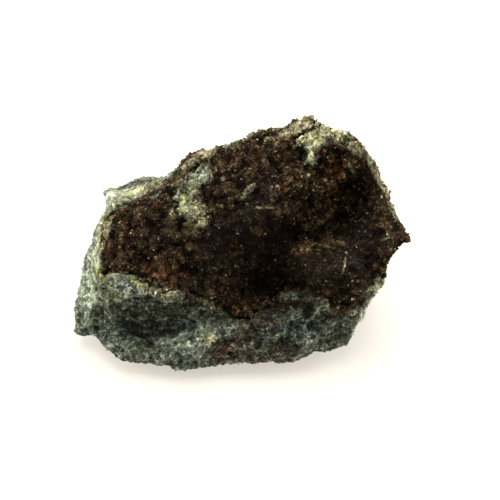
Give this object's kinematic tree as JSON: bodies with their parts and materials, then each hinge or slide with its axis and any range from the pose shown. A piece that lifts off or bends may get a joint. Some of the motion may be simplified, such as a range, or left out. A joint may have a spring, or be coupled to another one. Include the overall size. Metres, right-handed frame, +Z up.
{
  "type": "mineral specimen",
  "caption": "Broken block of green-grey rock with a leaning hollowed face lined by a crust of tiny dark brown crystals, resting on one flat face.",
  "frame": {"origin": "on the resting face, under the middle of the specimen's box", "axes": "+X along the block's length, +Y away from its crystal face, +Z up"},
  "size_m": [0.045, 0.0322, 0.0256],
  "materials": {
    "rock": "rough broken stone, grey-green with pale yellow-green edges",
    "crust": "granular crust of tiny dark brown crystals with small glints"
  },
  "bodies": {
    "root": {"host_rock": "rock", "crystal_crust": "crust"}
  },
  "joints": []
}
